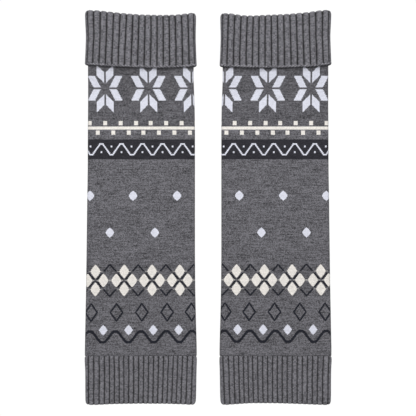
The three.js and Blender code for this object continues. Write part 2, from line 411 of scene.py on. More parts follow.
def drifted(even, side, drift, section):
    """Evenly spaced ways round the tube, moved by a drift in millimetres, but not at the edges."""
    drift = drift * shy_of_the_edge(side, DRIFT_POWER)
    return even + np.where(np.abs(even) < 0.25, 1, -1) * drift / girth(section)


def groove_depth(columns, side, rib_depth):
    """How far each column lies below the crest of its rib."""
    deep = EDGE_GROOVE + (1 - EDGE_GROOVE) * shy_of_the_edge(side, GROOVE_POWER)
    return rib_depth * deep * groove_share(columns)


def smooth_step(value, low, high):
    """0 up to low, 1 from high on, and a smooth climb between them."""
    share = np.clip((value - low) / (high - low), 0, 1)
    return share * share * (3 - 2 * share)


print("groove share over half a rib:", groove_share(np.linspace(0, 0.5, 6)).round(2))

# %% [markdown]
# ## Rings that carry ribs
#
# A ring of a rib tube is placed by its section and then pushed into the cloth, deeper in the grooves.
# Where the wall turns round an edge, its surface faces up or down the leg, so the push leans with
# it. The corners of the outline are rounded off as well.

# %% Ring helpers
HEM_RADIUS = RIB_WALL / 2
EDGE_DEGREES = 30
# How far each way the tables of edges and of drifts are averaged, as a share of the half width
EDGE_REACH = 0.05
DRIFT_REACH = 0.08


def place_ring(section, way, along, inset, tilt, depth, lowest=0):
    """Points of a ring whose surface leans tilt degrees from straight out towards the top edge."""
    lean = math.radians(tilt)
    _, height = round_the_tube(section, way, inset)
    limit = np.where(height < section[2] + section[3] / 2, 0, lowest)
    sunk = np.maximum(inset + depth * math.cos(lean), limit)
    across, height = round_the_tube(section, way, sunk)
    return np.stack([across, along - depth * math.sin(lean), height], axis=-1)


def corner_rise(side, reach, rise):
    """How far an edge bends up at the two ends of a flattened tube, where it turns round."""
    past = np.clip((np.abs(side) - 1) / reach + 1, 0, 1)
    return rise * (1 - np.sqrt(1 - past ** 2))


def edge_at(table, side, corner):
    """Where along the leg an edge lies, with its two corners rounded."""
    return smooth_table(table, side, EDGE_REACH)[0] + corner_rise(side, *corner)


def rounded_edge(full_relief):
    """Rows of a plan that turn a rib wall round its lower edge, from the inside to the outside."""
    rows = []
    for degrees in range(0, 181, EDGE_DEGREES):
        angle = math.radians(degrees)
        rise = HEM_RADIUS * (1 - math.sin(angle))
        relief = smooth_step(degrees, EDGE_DEGREES, full_relief)
        rows.append((0, rise, HEM_RADIUS * (1 + math.cos(angle)), degrees - 180, relief))
    return rows


print("rings round a lower edge:", len(rounded_edge(180)))

# %% [markdown]
# ## The turned-down top cuff
#
# The rib tube rises from its join with the body, folds at the top edge and comes down again outside.
# So one loop of rings goes up the outside from the hem, over the fold, down the hidden layer, and
# back up between the two. A cast-off edge of small loops runs along the hem and closes the grooves,
# and at the fold each rib rounds over separately, which gives the top edge its scallops. The tables
# follow each leg's own edges, because neither lies quite straight.

# %% Top cuff tables
# Rows of side (-1 at the outer edge, 1 at the inner), along
CUFF_HEM = {
    "left": [(-1, 344.6), (-0.9, 344.2), (-0.6, 342.9), (-0.3, 342.15), (0, 341.5), (0.3, 341.15),
             (0.6, 341.6), (0.8, 341.95), (0.92, 342.6), (1, 343.2)],
    "right": [(-1, 344.8), (-0.9, 344), (-0.7, 342.6), (-0.4, 341.9), (0, 341.2), (0.3, 341.2),
              (0.6, 341.6), (0.8, 342.1), (0.92, 342.6), (1, 343.2)],
}
CUFF_FOLD = {
    "left": [(-1, 400), (-0.85, 400.1), (-0.7, 399.5), (-0.4, 397.4), (0, 395.7), (0.4, 395.15),
             (0.65, 395.5), (0.85, 396.9), (1, 397.6)],
    "right": [(-1, 400.1), (-0.86, 400.2), (-0.75, 399.5), (-0.55, 397.8), (-0.2, 396.2),
              (0.15, 395.3), (0.42, 394.65), (0.62, 395), (0.8, 396.8), (1, 397.2)],
}
# Rows of side, then how far the ribs stand aside at the hem, half way up and at the fold
CUFF_DRIFT = {
    "left": [(-0.95, -0.1, 0.5, 0.2), (-0.8, -0.2, 0.1, 1.1), (-0.6, -0.2, 0.4, 1.85),
             (-0.37, -0.1, 0.5, 2.5), (-0.14, 0.1, 0.85, 2.3), (0.08, 0.25, 1, 1.6),
             (0.29, 0.3, 0.95, 0.9), (0.5, 0.4, 0.7, 0.1), (0.72, 0.45, 0.85, -0.6),
             (0.86, 0.9, 1, -0.1), (0.95, 1, 0.9, 0.2)],
    "right": [(-0.95, 0.2, 0.3, 0.8), (-0.83, 0.2, 0.5, 1.6), (-0.6, 0.3, 0.7, 1.9),
              (-0.37, 0.6, 0.7, 2.4), (-0.14, 0.9, 1, 2.3), (0.08, 1.2, 1.3, 1.5),
              (0.29, 1.2, 1.3, 0.8), (0.5, 0.9, 1, 0.1), (0.71, 0.9, 1.1, -0.4),
              (0.83, 1.2, 1.1, -0.1), (0.93, 0.8, 0.8, -0.1)],
}
print("rows in the fold's tables:", {leg: len(rows) for leg, rows in CUFF_FOLD.items()})

# %% [markdown]
# ## The plan of the top cuff
#
# A plan row says how far up a ring is, as a share of the way from the hem to the fold and a rise in
# millimetres, then its inset in the cloth, the tilt of its surface and its share of the ribs'
# relief. The hidden layer keeps less than half of the relief, because it is pressed.

# %% Top cuff plan
CUFF_LEVELS = (342.2, 396.6)
FOLD_RADIUS = TURNED_STACK / 2
FOLD_DEGREES = 15
LOOP_RING_STEP = 0.3
LOOP_RINGS_TO = 4.5
HIDDEN_RELIEF = 0.4


def cuff_plan():
    """Rows of share of the way to the fold, rise, inset, tilt and rib relief."""
    plan = rounded_edge(180)
    close_rises = np.arange(HEM_RADIUS + LOOP_RING_STEP, LOOP_RINGS_TO, LOOP_RING_STEP)
    plan += [(0, rise, 0, 0, 1) for rise in close_rises]
    plan += [(share, 0, 0, 0, 1) for share in np.linspace(0.1, 0.94, 40)]
    for degrees in range(0, 181, FOLD_DEGREES):
        angle = math.radians(degrees)
        rise = FOLD_RADIUS * (math.sin(angle) - 1)
        relief = 1 - (1 - HIDDEN_RELIEF) * smooth_step(degrees, 90, 170)
        plan.append((1, rise, FOLD_RADIUS * (1 - math.cos(angle)), degrees, relief))
    plan += [(1, -drop, TURNED_STACK, 180, HIDDEN_RELIEF) for drop in (5, 10, 16, 22, 28)]
    plan += [(1, -34, TURNED_STACK, 180, 0.1)]
    return plan


print("rings in the cuff's plan:", len(cuff_plan()))

# %% [markdown]
# ## Knitting the top cuff
#
# Each ring takes its width and its ribs' drift from the tables. In the cast-off band the grooves are
# closed, and small loops swell out instead. The last rings run up between the two layers and down
# again behind the visible one.

# %% Top cuff
CUFF_RIBS = 37
CUFF_RIB_DEPTH = 1.5
HEM_BAND = 2.0
# Heights above the hem between which the grooves open
GROOVES_OPEN = (HEM_BAND - 0.6, HEM_BAND + 0.4)
LOOPS_PER_RIB = 2
LOOP_HEIGHT = 0.4
LOOP_BED = 0.3
# Reach along the edge and rise of the corners at the hem's and the fold's two ends
HEM_CORNER = (0.05, 1.0)
FOLD_CORNER = (0.075, -2.6)


def top_cuff(leg):
    """One leg's turned-down cuff."""
    columns = rib_columns(CUFF_RIBS)
    even = (columns - CUFF_RIBS / 2) / CUFF_RIBS
    seed = 11 if leg == "left" else 12
    low = rib_lows(CUFF_RIBS, seed)
    rings = []
    heights = []

    def add_ring(share, rise, inset, tilt, relief):
        level = (1 - share) * CUFF_LEVELS[0] + share * CUFF_LEVELS[1] + rise
        section = section_at(CUFF_ROWS, level)
        side = side_of(section, even, inset)
        at_hem, half_way, at_fold = smooth_table(CUFF_DRIFT[leg], side, DRIFT_REACH)
        reach = np.clip((level - CUFF_LEVELS[0]) / (CUFF_LEVELS[1] - CUFF_LEVELS[0]), 0, 1)
        bend = 4 * half_way - 2 * at_hem - 2 * at_fold
        drift = (1 - reach) * at_hem + reach * at_fold + reach * (1 - reach) * bend
        way = drifted(even, side, drift + rib_wander(columns, level, seed), section)
        open_groove = smooth_step(rise, *GROOVES_OPEN) if share == 0 else 1
        depth = relief * open_groove * (groove_depth(columns, side, CUFF_RIB_DEPTH) + low)
        if share == 0:
            swell = relief * (1 - open_groove)
            loop = 0.5 + 0.5 * np.cos(2 * math.pi * LOOPS_PER_RIB * columns)
            depth = depth + swell * (LOOP_BED - LOOP_HEIGHT * loop)
        side = side_of(section, way, inset)
        hem = edge_at(CUFF_HEM[leg], side, HEM_CORNER)
        fold = edge_at(CUFF_FOLD[leg], side, FOLD_CORNER)
        along = (1 - share) * hem + share * fold + rise
        rings.append(place_ring(section, way, along, inset, tilt, depth, -LOOP_HEIGHT))
        heights.append(level)

    for row in cuff_plan():
        add_ring(*row)
    join_section = section_at(CUFF_ROWS, CUFF_JOIN)
    for inset in (TURNED_STACK, UNDER_CUFF):
        across, height = round_the_tube(join_section, even, inset)
        rings.append(np.stack([across, np.full_like(across, CUFF_JOIN), height], axis=-1))
        heights.append(CUFF_JOIN)
    for rise in (-30, -20, -10, -FOLD_RADIUS - 2 * SEAM_GAP):
        add_ring(1, rise, UNDER_CUFF, 0, 0)
    add_ring(1, -FOLD_RADIUS - SEAM_GAP, RIB_WALL + SEAM_GAP / 2, 0, 0)
    add_ring(1, -FOLD_RADIUS - 2 * SEAM_GAP, RIB_WALL, 0, 0)
    for share in (0.8, 0.6, 0.4, 0.2, 0.08):
        add_ring(share, 0, RIB_WALL, 0, 0)
    v_values = np.array(heights + heights[:1]) - CUFF_LEVELS[0]
    u_values = np.append(columns, CUFF_RIBS)
    return closed_wall(f"top_cuff_{leg}_rib", rings, u_values, v_values, leg)


top_cuffs = {leg: top_cuff(leg) for leg in LEGS}

# %% [markdown]
# ## The foot cuff
#
# The foot cuff is a single rib tube with narrower ribs. Its foot edge is soft and slightly scalloped
# because each rib ends in its own round tip, and at the join with the body the ribs thin down to the
# height of the jersey.

# %% Foot cuff tables
# Rows of side, along
FOOT_EDGE = {
    "left": [(-1, 0), (-0.88, -0.4), (-0.7, -0.1), (-0.5, 0.55), (0, 1), (0.5, 0.8),
             (0.8, 0.2), (0.92, -0.3), (1, 0)],
    "right": [(-1, 0), (-0.92, -0.35), (-0.7, 0), (-0.4, 0.7), (0, 1.45), (0.45, 1.4),
              (0.6, 0.85), (0.8, 0.1), (0.92, -0.35), (1, 0)],
}
# Rows of side, then how far the ribs stand aside at the foot edge and at the join
FOOT_DRIFT = {
    "left": [(-0.93, -0.1, 0.5), (-0.83, 0.4, 0.8), (-0.72, 1, 1.6), (-0.6, 1.1, 1.4),
             (-0.45, 1.3, 1.1), (-0.3, 0.6, 0.6), (-0.1, 0.3, 0.4), (0.1, -0.1, 0.45),
             (0.25, -0.4, 0.3), (0.4, -0.6, 0.2), (0.5, -1.2, 0.1), (0.6, -1.3, -0.3),
             (0.72, -2.2, -0.95), (0.83, -2.2, -1.1), (0.92, -1.8, -1)],
    "right": [(-0.95, 0, -0.7), (-0.84, 0.7, 0.3), (-0.66, 0.8, 0.85), (-0.48, 0.9, 0.9),
              (-0.3, 1, 1), (-0.1, 0.75, 0.85), (0.1, 0.5, 0.5), (0.3, 0.1, 0.3),
              (0.48, -0.4, 0.3), (0.57, -1.1, -0.4), (0.7, -1.5, -0.8), (0.82, -1.7, -1.1),
              (0.92, -1.2, -0.2)],
}
print("rows in the foot edge's tables:", {leg: len(rows) for leg, rows in FOOT_EDGE.items()})

# %% [markdown]
# ## Knitting the foot cuff
#
# The plan has the same columns as the top cuff's, with the join in place of the fold. The last rings
# below the join have a little extra relief, so that the grooves stay open to the very end.

# %% Foot cuff
FOOT_RIBS = 46
FOOT_RIB_DEPTH = 1.3
FOOT_LEVELS = (1.3, FOOT_JOIN - 0.05)
# Reach along the foot edge and rise of its two corners
FOOT_CORNER = (0.085, 3.2)
JOIN_RELIEF = 1.3


def foot_plan():
    """Rows of share of the way to the join, rise, inset, tilt and rib relief."""
    plan = rounded_edge(150)
    plan += [(share, 0, 0, 0, 1) for share in np.linspace(0.05, 0.93, 36)]
    for rise, inset in ((-2.2, 0), (-1.4, 0.05), (-0.8, 0.25), (-0.3, 0.6), (0, 1.1)):
        plan.append((1, rise, inset, 0, JOIN_RELIEF))
    plan += [(1, 0, RIB_WALL - 0.4, 0, 0), (1, -0.5, RIB_WALL, 0, 0)]
    plan += [(share, 0, RIB_WALL, 0, 0) for share in (0.8, 0.6, 0.4, 0.2)]
    return plan


def foot_cuff(leg):
    """One leg's foot cuff."""
    columns = rib_columns(FOOT_RIBS)
    even = (columns - (FOOT_RIBS - 1) / 2) / FOOT_RIBS
    seed = 21 if leg == "left" else 22
    low = rib_lows(FOOT_RIBS, seed)
    rings = []
    v_values = []
    for share, rise, inset, tilt, relief in foot_plan():
        level = (1 - share) * FOOT_LEVELS[0] + share * FOOT_LEVELS[1] + rise
        section = section_at(FOOT_ROWS, level)
        side = side_of(section, even, inset)
        edge_drift, join_drift = smooth_table(FOOT_DRIFT[leg], side, DRIFT_REACH)
        drift = (1 - share) * edge_drift + share * join_drift
        way = drifted(even, side, drift + rib_wander(columns, level, seed), section)
        depth = relief * (groove_depth(columns, side, FOOT_RIB_DEPTH) + low)
        side = side_of(section, way, inset)
        edge = edge_at(FOOT_EDGE[leg], side, FOOT_CORNER)
        along = (1 - share) * edge + share * FOOT_LEVELS[1] + rise
        rings.append(place_ring(section, way, along, inset, tilt, depth))
        v_values.append(level if inset < RIB_WALL / 2 else -level)
    v_values = np.array(v_values + v_values[:1])
    u_values = np.append(columns, FOOT_RIBS)
    return closed_wall(f"foot_cuff_{leg}_rib", rings, u_values, v_values, leg)


foot_cuffs = {leg: foot_cuff(leg) for leg in LEGS}

# %% [markdown]
# ## Arithmetic that makes nodes
#
# A knitted pattern is a chart: a colour for every stitch. Each motif here is a small formula in
# wales (columns of stitches) and courses (rows). This helper lets the formulas be written as
# arithmetic, and each operation adds one maths node to the material. A comparison gives 1 where it
# is true and 0 where it isn't, "&" keeps what lies in both and "|" what lies in either.

# %% Field helper


def new_node(tree, kind, inputs, **settings):
    """A node with its settings, its inputs fed by fields, sockets or plain values."""
    node = tree.nodes.new(f"ShaderNode{kind}")
    for name, value in settings.items():
        setattr(node, name, value)
    for place, value in inputs.items():
        value = getattr(value, "socket", value)
        if isinstance(value, bpy.types.NodeSocket):
            tree.links.new(value, node.inputs[place])
        else:
            node.inputs[place].default_value = value
    return node


class Field:
    """A number that changes over the cloth."""

    def __init__(self, tree, socket):
        self.tree = tree
        self.socket = socket

    def maths(self, operation, *others):
        """What a maths node makes of this field and others, or of numbers."""
        inputs = dict(enumerate((self, *others)))
        node = new_node(self.tree, "Math", inputs, operation=operation)
        return Field(self.tree, node.outputs[0])

    def clamped(self, low, high):
        return self.maths("MAXIMUM", low).maths("MINIMUM", high)


# The maths node that each sign of ordinary arithmetic makes
SIGNS = {
    "add": "ADD", "sub": "SUBTRACT", "mul": "MULTIPLY", "truediv": "DIVIDE", "pow": "POWER",
    "abs": "ABSOLUTE", "lt": "LESS_THAN", "gt": "GREATER_THAN", "and": "MULTIPLY", "or": "MAXIMUM",
}
for sign, operation in SIGNS.items():
    setattr(Field, f"__{sign}__", partialmethod(Field.maths, operation))


def nearest_repeat(wale, first, pitch):
    """Wales from the middle of the nearest repeat, whose middle is always a whole stitch."""
    count = ((wale - first) / pitch).maths("ROUND")
    return wale - (count * pitch + first).maths("ROUND")


def within(value, low, high):
    """1 where the value lies between low and high."""
    return (value > low) & (value < high)


print("field helper ready")

# %% [markdown]
# ## Stars and lozenges
#
# All the motifs are old ones. In every function i counts wales from the middle of the motif and j
# counts courses. A star has one standing petal and one leaning one, each drawn four times over by
# taking i and j without their signs.

# %% Star and lozenge formulas


def star(i, j, standing=(1.0, 9.08), foot=(1.22, 6.9), tip=(1.29, 21.4), shift=0.6,
         leaning=(4.94, 12.96), courses=(1.08, 17.06), courses_per_step=2.5, step_shift=0.3):
    """Four petals standing beside the middle wale and four leaning ones that step wale by wale."""
    # A standing petal's lower and upper edges, each from a slope and a start
    lower, upper = (abs(i) * slope + start for slope, start in (foot, tip))
    high = abs(j + shift)
    petal = within(abs(i), *standing) & (high > lower) & (high < upper)
    step = ((abs(j) + step_shift) / courses_per_step).maths("FLOOR")
    return petal | (within(abs(j), *courses) & within(abs(i) - step, *leaning))


def lozenge(i, j, half_width, half_height, roundness):
    """A diamond whose sides bulge a little when roundness is above 1."""
    wide = (abs(i) / half_width) ** roundness
    tall = (abs(j) / half_height) ** roundness
    return (wide + tall) < 1


print("star and lozenge ready")

# %% [markdown]
# ## Lines, dots and pips
#
# A zigzag is a slope cut off at its peaks and troughs, and a wave is a cosine. A line is measured
# straight up, so a wave's line has to be thicker on its slopes to look even. An edge that falls
# inside a stitch trims it, which is why so few of the numbers here are whole.

# %% Line, dot and pip formulas
# Courses that a straight slope climbs for each wale
SLOPE = 1.84
WAVE_PITCH = 27
# Half widths in wales and half heights in courses
DOT = (0.97, 1.06)
PIP = (2.04, 3)


def block(i, j, half_width, half_height):
    """A small upright block of stitches."""
    return (abs(i) < half_width) & (abs(j) < half_height)


def zigzag(i, j, start=10.28, peak=8.55, top=8.85, half_line=1.8):
    """A line that climbs and falls, with short thin flats at its peaks and troughs."""
    level = (abs(i) * -SLOPE + start).clamped(-peak, peak)
    return (abs(j - level) < half_line) & (abs(j) < top)


def wave(i, j, peak=7.8, half_line=1.75, extra=1.3):
    """A round wave, thicker on its slopes so that it reads as one even line."""
    angle = i * (2 * math.pi / WAVE_PITCH)
    slope = abs(angle.maths("SINE"))
    return abs(j - angle.maths("COSINE") * peak) < slope * extra + half_line


print("a pip is about", round(2 * PIP[1] * COURSE_HEIGHT, 1), "mm high")

# %% [markdown]
# ## Diamonds and lattice
#
# One band has clusters of four cream diamonds on the crossings of a black lattice, and light single
# stitches in the gaps. Diamonds in black outline stand in the row below.

# %% Diamond formulas


def open_diamond(i, j, height=12.1, half_line=2.2, cut=(7.05, 13.45)):
    """A diamond drawn in outline, with the ends of its points cut off."""
    return (abs(abs(i) * SLOPE + abs(j) - height) < half_line) & block(i, j, *cut)


def lattice(i, j, slope=1.5, shift=0.75, half_line=1.8, spans=((1.2, 10.3), (12.5, 23.2))):
    """Crossing lines that run from one cluster of diamonds to the next, with a break in each."""
    near, far = (within(abs(j), *span) for span in spans)
    return (abs(abs(i) * slope - shift - abs(j)) < half_line) & (near | far)


def cluster(i, j, above=12.6, beside=8.65, upright=(5.25, 9.5, 1.2), side=(5.25, 9.6, 1.2)):
    """Four diamonds round a crossing."""
    return lozenge(i, abs(j) - above, *upright) | lozenge(abs(i) - beside, j, *side)


def floats(i, j, half=0.8, inside=(1.2, 3.9), outside=13.8, above=(5.6, 7.6), height=12.5):
    """Single light stitches where the cream yarn passes between two diamonds."""
    middle_row = (abs(j) < half) & (within(abs(i), *inside) | (abs(i) > outside))
    return middle_row | ((abs(abs(j) - height) < half) & within(abs(i), *above))


print("diamonds and lattice ready")

# %% [markdown]
# ## Where the motifs go
#
# The chart lists each yarn's motifs, with their height above the foot edge in millimetres, the first
# repeat's middle in wales from the middle of the front, and the wales from one repeat to the next.
# Yarns further down cover those above, and the dark band lies under them all. Behind the large
# motifs a second yarn is carried along, and there the grey is seen a little darker.

# %% Pattern chart
DARK_BAND = (249.19, 269.36)
CREAM_LINE = 280.88
CREAM_LINE_HALF = 2.03
CLUSTER_PLACE = (126.44, 12.9, 30.3)
# Rows of motif, height, first wale, pitch, then half width, half height and roundness if it has them
CHART = {
    "float": [(floats, *CLUSTER_PLACE)],
    "black": [
        (open_diamond, 94.04, 1.8, 26.75),
        (wave, 69.1, 1.2, WAVE_PITCH),
        (lattice, *CLUSTER_PLACE),
    ],
    "white": [
        (star, 321.2, 9, 48),
        (zigzag, 259.28, 1.6, 22.35),
        (block, 256.4, 1.6, 22.35, *DOT),
        (block, 262.16, 12.5, 22.35, *DOT),
        (lozenge, 212.12, -7.8, 47.6, 4.5, 7.0, 1.4),
        (lozenge, 174.68, 15.85, 49.25, 4.5, 7.1, 1.3),
        (lozenge, 76.04, 14.45, 26.75, 4.6, 7.5, 1.1),
    ],
    "cream": [
        (block, 285.92, -5.4, 16.8, *PIP),
        (block, 276.2, 3.4, 16.8, *PIP),
        (cluster, *CLUSTER_PLACE),
    ],
}
# Heights between which a second yarn is carried behind the grey
STRANDED_STARS = (283, 340)
STRANDED_CLUSTERS = (110, 142)


def between_heights(course, heights):
    """1 from one height above the foot edge to another."""
    return within(course, *(courses_up(along) for along in heights))


def chart_masks(wale, course):
    """The masks of the coloured yarns, from the lowest layer to the highest."""
    masks = {"dark band": between_heights(course, DARK_BAND)}
    for yarn, rows in CHART.items():
        for motif, along, first, pitch, *sizes in rows:
            mask = motif(nearest_repeat(wale, first, pitch), course - courses_up(along), *sizes)
            masks[yarn] = masks[yarn] | mask if yarn in masks else mask
    cream_line = abs(course - courses_up(CREAM_LINE)) < CREAM_LINE_HALF
    masks["cream"] = masks["cream"] | cream_line
    return masks


print("the dark band is", round((DARK_BAND[1] - DARK_BAND[0]) / COURSE_HEIGHT), "courses high")

# %% [markdown]
# ## Yarn
#
# Heather yarn is spun from light and dark fibres, so every stitch differs a little from its
# neighbours. Noise textures make that: small fibres with a few light flecks among them, streaks that
# run along the body's rows, and broad clouds. A random value for each stitch goes on top. What they
# add up to lightens or darkens the yarn.

# %% Yarn
YARNS = {
    "grey": (0.1227, 0.1205, 0.1332),
    "top rib grey": (0.159, 0.1562, 0.173),
    "foot rib grey": (0.156, 0.1534, 0.1698),
    "dark band": (0.0245, 0.0238, 0.0302),
    "black": (0.012, 0.013, 0.020),
    "white": (0.708, 0.72, 0.81),
    "cream": (0.82, 0.785, 0.738),
    "float": (0.36, 0.35, 0.34),
}
# How little of the heather's changes each dyed yarn shows
STEADINESS = {"dark band": 0.45, "black": 0.45, "white": 0.85, "cream": 0.82, "float": 0.5}
FLECKS_ABOVE = 0.1
# Every material has its own layer of the noise, and its clouds lie in yet another one
LAYER_STEP = 20
CLOUD_LAYER = 7


def stitch_coordinates(tree):
    """The two counts in the UV map as fields."""
    uv_map = new_node(tree, "UVMap", {}, uv_map="stitches")
    parts = new_node(tree, "SeparateXYZ", {0: uv_map.outputs["UV"]})
    return Field(tree, parts.outputs["X"]), Field(tree, parts.outputs["Y"])


def as_vector(x, y, z):
    """A vector socket from two fields and a number."""
    return new_node(x.tree, "CombineXYZ", {0: x, 1: y, 2: z}).outputs[0]


def noise(x, y, layer, scale, detail=2):
    """Smooth noise from -0.5 to 0.5, with blobs of about 1 / scale each way."""
    place = as_vector(x * scale[0], y * scale[1], layer)
    node = new_node(x.tree, "TexNoise", {"Scale": 1, "Detail": detail, "Vector": place})
    return Field(x.tree, node.outputs[0]) - 0.5


def stitch_lottery(wale, course, layer):
    """A random number from -0.5 to 0.5 for each stitch."""
    whole = as_vector(wale.maths("ROUND"), course.maths("FLOOR"), layer)
    node = new_node(wale.tree, "TexWhiteNoise", {"Vector": whole}, noise_dimensions="3D")
    return Field(wale.tree, node.outputs["Value"]) - 0.5


def heather(parts, strengths):
    """Every part of the heather look times its strength, added up."""
    parts["flecks"] = (parts["fibres"] - FLECKS_ABOVE).maths("MAXIMUM", 0)
    swings = [parts[part] * strength for part, strength in strengths.items()]
    return sum(swings[1:], swings[0])


print("yarns:", ", ".join(YARNS))

# %% [markdown]
# ## Stitches
#
# A jersey stitch is two slanted strands that meet in a V. Its height goes to a bump node, because
# 100,000 stitches a leg are too many to model. A stitch takes its yarn from a small patch at its
# middle, so that the edge of a motif steps and at most trims a stitch.

# %% Stitches and material helpers
# Share of a stitch's size that its patch of the chart has
STITCH_BLEND = 0.25
# How far aside the columns of stitches are shifted, in wales
WALE_SHIFT = 1.175
# Courses by which a strand climbs, and how much lower a stitch is at its ends
STRAND_CLIMB = 0.5
END_DROP = 0.6
BUMP_STRENGTH = 0.6
WOOL = {"Roughness": 0.95, "Specular IOR Level": 0.15, "Sheen Weight": 0.08, "Sheen Roughness": 0.6}


def v_stitches(wale, course):
    """Which stitch each point lies in, blended a little with its place, and the stitch's height."""
    wale = wale + WALE_SHIFT
    in_wale = wale.maths("FRACT")
    spread = abs(in_wale - 0.5) * 2
    course = course - (spread - 0.5) * STRAND_CLIMB
    in_course = course.maths("FRACT")
    strand = abs(spread * 2 - 1)
    climb = abs(in_course * 2 - 1)
    height = (strand * strand * -1 + 1) * (climb * climb * -END_DROP + 1)
    stitch_wale = wale.maths("FLOOR") + (in_wale - 0.5) * STITCH_BLEND
    stitch_course = course.maths("FLOOR") + 0.5 + (in_course - 0.5) * STITCH_BLEND
    return stitch_wale, stitch_course, height


def over(lower, yarn, mask):
    """A yarn's colour over another colour where the mask is 1."""
    inputs = {0: mask, 6: lower, 7: (*YARNS[yarn], 1)}
    return new_node(mask.tree, "Mix", inputs, data_type="RGBA").outputs[2]


def knit_material(name):
    """An empty matt woolly material, with its tree and its shader."""
    material = bpy.data.materials.new(name)
    material.use_nodes = True
    tree = material.node_tree
    shader = tree.nodes["Principled BSDF"]
    for socket, value in WOOL.items():
        shader.inputs[socket].default_value = value
    return material, tree, shader


def finish_knit(shader, colour, factor, height, bump):
    """Feeds the shader a colour times a field, and a height in millimetres as bump."""
    tree = factor.tree
    tint = new_node(tree, "VectorMath", {0: colour, "Scale": factor}, operation="SCALE")
    tree.links.new(tint.outputs[0], shader.inputs["Base Color"])
    inputs = {"Strength": BUMP_STRENGTH, "Distance": bump * MM, "Height": height}
    tree.links.new(new_node(tree, "Bump", inputs).outputs[0], shader.inputs["Normal"])


print(f"a stitch takes its colour from the middle {STITCH_BLEND:.0%} of its size")

# %% [markdown]
# ## The patterned jersey
#
# The body's material counts its stitches, asks the chart which yarn each one is, and lets the heather
# lighten or darken that yarn. The plain grey takes the heather in full, and the pattern yarns, which
# are dyed solid, take only a share of it. A painted shadow darkens a strip of about 5 mm just below
# the top cuff's hem, following the hem.

# %% Patterned jersey
JERSEY_HEATHER = {"fibres": 0.9, "flecks": 3.2, "streaks": 1.6, "clouds": 0.5, "specks": 1.1}
JERSEY_DARKEST = 0.2
# Painted shade between two stitches, and how much lighter their crowns are painted
JERSEY_HOLLOW = 0.75
JERSEY_CROWN = 0.35
JERSEY_BUMP = 0.25
STRANDED_SHADE = 0.15
# The back's seam, in wales from the middle of the front
SEAM_WALE = 119.4
SEAM_SHADE = 0.35
# Where the hem is lowest, how many courses it rises, and how many courses down its painted shadow
# reaches
HEM_LOWEST = 341.8
HEM_RISE = 3.4
HEM_SHADOW_COURSES = 7
HEM_SHADOW_DARKNESS = 0.32


def painted_hem_shadow(u, v):
    """1 over the body, and a painted shadow in the strip just below the top cuff's hem."""
    side = abs(abs(u) - WALES_ROUND / 4) / (-WALES_ROUND / 4) + 1
    hem = side ** 4 * HEM_RISE + courses_up(HEM_LOWEST)
    return ((v - hem) / HEM_SHADOW_COURSES + 1).clamped(0, 1) * -HEM_SHADOW_DARKNESS + 1


def patterned_jersey(leg, layer):
    """One body's material, with its own layer of the noise."""
    material, tree, shader = knit_material(f"patterned_jersey_{leg}")
    u, v = stitch_coordinates(tree)
    wale, course, height = v_stitches(u, v)
    colour = (*YARNS["grey"], 1)
    dyed = None
    for yarn, mask in chart_masks(wale, course).items():
        colour = over(colour, yarn, mask)
        steady = mask * STEADINESS[yarn]
        dyed = steady if dyed is None else dyed | steady
    parts = {
        "fibres": noise(u, v, layer, scale=(0.8, 0.83), detail=3),
        "streaks": noise(u, v, layer, scale=(0.073, 0.5)),
        "clouds": noise(u, v, layer + CLOUD_LAYER, scale=(0.03, 0.067)),
        "specks": stitch_lottery(wale, course, layer),
    }
    share = dyed * -1 + 1
    shade = (heather(parts, JERSEY_HEATHER) * share + 1).maths("MAXIMUM", JERSEY_DARKEST)
    stranded = between_heights(v, STRANDED_STARS) | between_heights(v, STRANDED_CLUSTERS)
    shade = shade * (stranded * share * -STRANDED_SHADE + 1)
    # Painted shade in the hollows between stitches, lighter on their crowns
    shade = shade * (height * JERSEY_CROWN + JERSEY_HOLLOW)
    seam = (abs(u) > SEAM_WALE) * -SEAM_SHADE + 1
    # The colour is multiplied here by the painted shadow under the top cuff's hem
    finish_knit(shader, colour, shade * seam * painted_hem_shadow(u, v), height, JERSEY_BUMP)
    return material


for step, (leg, body) in enumerate(bodies.items()):
    body.data.materials.append(patterned_jersey(leg, LAYER_STEP * step))
    print(body.name, "uses", len(body.data.materials[0].node_tree.nodes), "nodes")

# %% [markdown]
# ## The rib knit
#
# The cuffs are the same heather yarn, knitted thicker, so they look lighter. The material paints
# shade into each groove with a power law like the mesh's own, on top of the shadow that the mesh
# casts there. Along the top cuff's hem the cast-off loops slant, and a cosine that runs askew over
# them paints a highlight on each loop and shade in the notch beside it.

# %% Rib knit
RIB_HEATHER = {"fibres": 1.7, "flecks": 2.5, "clouds": 0.3, "specks": 0.8}
RIB_AVERAGE = 0.97
RIB_DARKEST = 0.15
# Painted shade between two stitches, and how much lighter their crowns are painted
RIB_HOLLOW = 0.8
RIB_CROWN = 0.3
RIB_BUMP = 0.4
RIB_COURSE = 1.15
# Least that the painted shade leaves of the colour at the bottom of a groove
PAINTED_GROOVE_DARKEST = 0.03
# Millimetres over which the loops give way to grooves, and up which they slant by a whole loop
LOOP_FADE = 0.6
LOOP_SLANT = 2.6
# How much lighter a loop is painted and how much darker its notch, and by how much both are lifted
PAINTED_LOOP_CONTRAST = 0.5
PAINTED_LOOP_LIFT = 0.03


